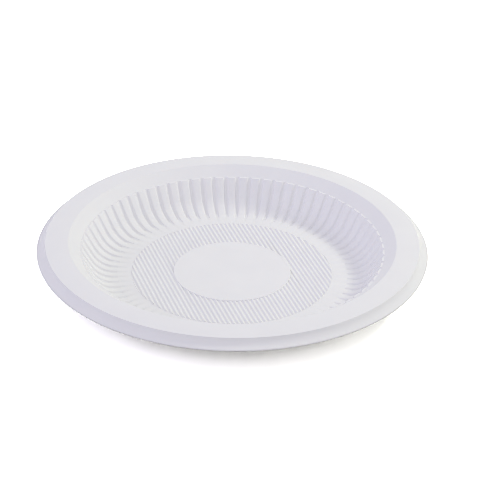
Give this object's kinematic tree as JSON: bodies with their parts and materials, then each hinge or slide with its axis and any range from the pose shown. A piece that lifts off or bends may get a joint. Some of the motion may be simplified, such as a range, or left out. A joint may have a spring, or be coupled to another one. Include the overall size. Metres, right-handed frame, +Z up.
{
  "type": "disposable plate",
  "caption": "Round shallow disposable plate with a flat rim, a flared skirt, a fluted wall, and a ribbed base around a plain raised centre panel.",
  "frame": {"origin": "middle of the base, on the surface that the plate rests on", "axes": "+Z up through the plate's middle, out of the dish; +X to the right and +Y away from the viewer in the picture"},
  "size_m": [0.2286, 0.2286, 0.0236],
  "materials": {
    "starch_sheet": "satin white, faintly translucent formed starch-blend sheet"
  },
  "bodies": {
    "root": {"plate": "starch_sheet"}
  },
  "joints": []
}
